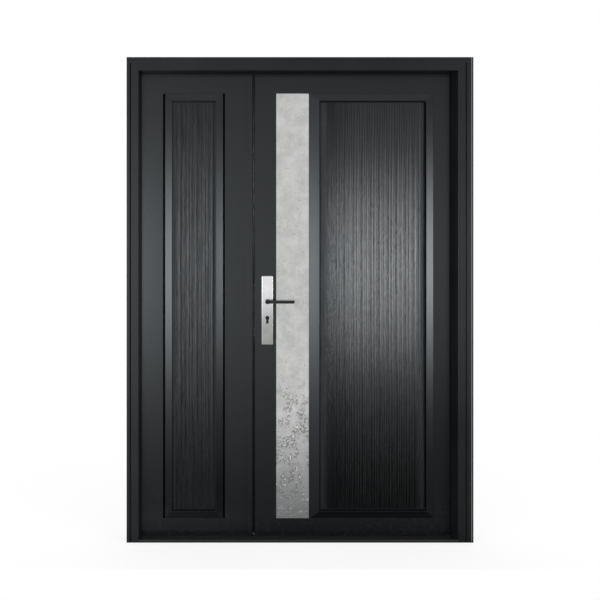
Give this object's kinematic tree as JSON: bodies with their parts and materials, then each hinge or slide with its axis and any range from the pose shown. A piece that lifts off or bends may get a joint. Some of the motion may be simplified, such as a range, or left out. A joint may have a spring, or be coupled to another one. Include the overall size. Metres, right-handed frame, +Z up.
{
  "type": "double-leaf security door",
  "caption": "Steel security door with a narrow and a wide leaf in a pressed frame, ribbed panels, a concrete-look inlay and a lever lock.",
  "frame": {"origin": "on the threshold's underside, at floor level, halfway along it and in the plane of the leaves' outside face", "axes": "+X to the right seen from outside, +Y into the building, +Z up"},
  "size_m": [1.5, 0.177, 2.1],
  "materials": {
    "frame_paint": "satin",
    "leaf_paint": "satin",
    "moulding_paint": "satin",
    "ribbed_panel": "satin",
    "concrete": "matte",
    "satin_steel": "satin",
    "dark_lever": "satin",
    "cylinder_metal": "satin",
    "hinge_paint": "satin",
    "seal_rubber": "matte",
    "honeycomb": "matte"
  },
  "bodies": {
    "frame": {"frame_left_jamb": "frame_paint", "frame_right_jamb": "frame_paint", "frame_head": "frame_paint", "threshold": "frame_paint", "frame_gasket": "seal_rubber", "passive_lower_hinge_frame_half": "hinge_paint", "active_lower_hinge_frame_half": "hinge_paint", "passive_middle_hinge_frame_half": "hinge_paint", "active_middle_hinge_frame_half": "hinge_paint", "passive_upper_hinge_frame_half": "hinge_paint", "active_upper_hinge_frame_half": "hinge_paint"},
    "passive_leaf": {"passive_front_skin": "leaf_paint", "passive_rear_skin": "leaf_paint", "passive_core": "honeycomb", "passive_front_moulding": "moulding_paint", "passive_front_panel": "ribbed_panel", "passive_rear_moulding": "moulding_paint", "passive_rear_panel": "ribbed_panel", "passive_meeting_strip": "leaf_paint", "meeting_brush": "seal_rubber", "passive_strike_plate": "satin_steel", "passive_flush_bolts": "satin_steel", "passive_lower_hinge_leaf_half": "hinge_paint", "passive_middle_hinge_leaf_half": "hinge_paint", "passive_upper_hinge_leaf_half": "hinge_paint"},
    "active_leaf": {"active_front_skin": "leaf_paint", "active_rear_skin": "leaf_paint", "active_core": "honeycomb", "active_front_moulding": "moulding_paint", "active_front_panel": "ribbed_panel", "active_rear_moulding": "moulding_paint", "active_rear_panel": "ribbed_panel", "concrete_inlay": "concrete", "outside_handle_plate": "satin_steel", "inside_handle_plate": "satin_steel", "lock_cylinder": "cylinder_metal", "lock_faceplate": "satin_steel", "lock_bolts": "satin_steel", "active_lower_hinge_leaf_half": "hinge_paint", "active_middle_hinge_leaf_half": "hinge_paint", "active_upper_hinge_leaf_half": "hinge_paint"},
    "lever": {"outside_lever": "dark_lever", "inside_lever": "dark_lever", "lever_spindle": "satin_steel"}
  },
  "joints": [
    {"name": "active_leaf_swing", "type": "hinge", "parent": "frame", "child": "active_leaf", "pos_m": [0.6965, 0.07, 0], "axis": [0, 0, -1], "range_deg": [0, 120]},
    {"name": "passive_leaf_swing", "type": "hinge", "parent": "frame", "child": "passive_leaf", "pos_m": [-0.71, 0.07, 0], "axis": [0, 0, 1], "range_deg": [0, 120]},
    {"name": "lever_turn", "type": "hinge", "parent": "active_leaf", "child": "lever", "pos_m": [-0.137, 0, 1.04], "axis": [0, 1, 0], "range_deg": [0, 45], "stiffness_Nm_per_rad": 1.5, "springref_deg": -22.92}
  ]
}
